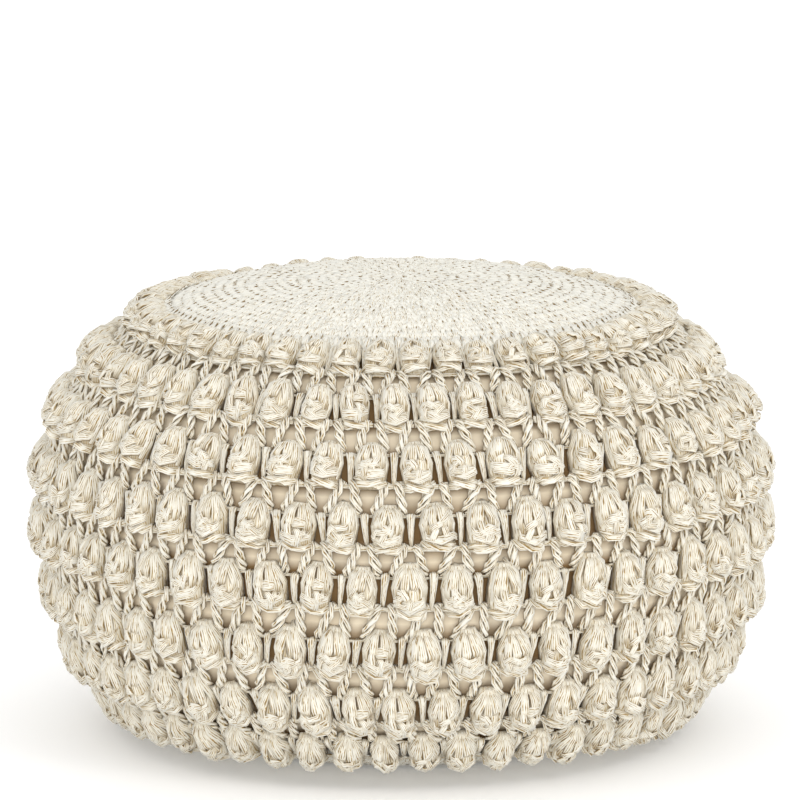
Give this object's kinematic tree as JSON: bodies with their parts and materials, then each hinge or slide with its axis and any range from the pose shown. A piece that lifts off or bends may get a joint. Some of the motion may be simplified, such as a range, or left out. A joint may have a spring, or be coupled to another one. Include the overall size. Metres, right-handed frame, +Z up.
{
  "type": "crochet pouf",
  "caption": "Round floor pouf: a filled inner cushion in a crocheted cotton cover with rounds of bobble stitches, open links between them, a close crowned seat and a flat base.",
  "frame": {"origin": "the middle of the flat base, on the floor", "axes": "+Z up through the middle of the seat, the front faces -Y, +X to the right of the front"},
  "size_m": [0.5993, 0.5988, 0.37],
  "materials": {
    "cotton_yarn": "matte undyed cotton yarn, a loose bundle of strands",
    "cushion_cloth": "matte plain-woven beige cushion cloth"
  },
  "bodies": {
    "root": {"inner_cushion": "cushion_cloth", "seat_disc": "cotton_yarn", "base_disc": "cotton_yarn", "bobble_round_1": "cotton_yarn", "bobble_round_2": "cotton_yarn", "bobble_round_3": "cotton_yarn", "bobble_round_4": "cotton_yarn", "bobble_round_5": "cotton_yarn", "bobble_round_6": "cotton_yarn", "bobble_round_7": "cotton_yarn", "bobble_round_8": "cotton_yarn", "link_round_1": "cotton_yarn", "link_round_2": "cotton_yarn", "link_round_3": "cotton_yarn", "link_round_4": "cotton_yarn", "link_round_5": "cotton_yarn", "link_round_6": "cotton_yarn", "link_round_7": "cotton_yarn"}
  },
  "joints": []
}
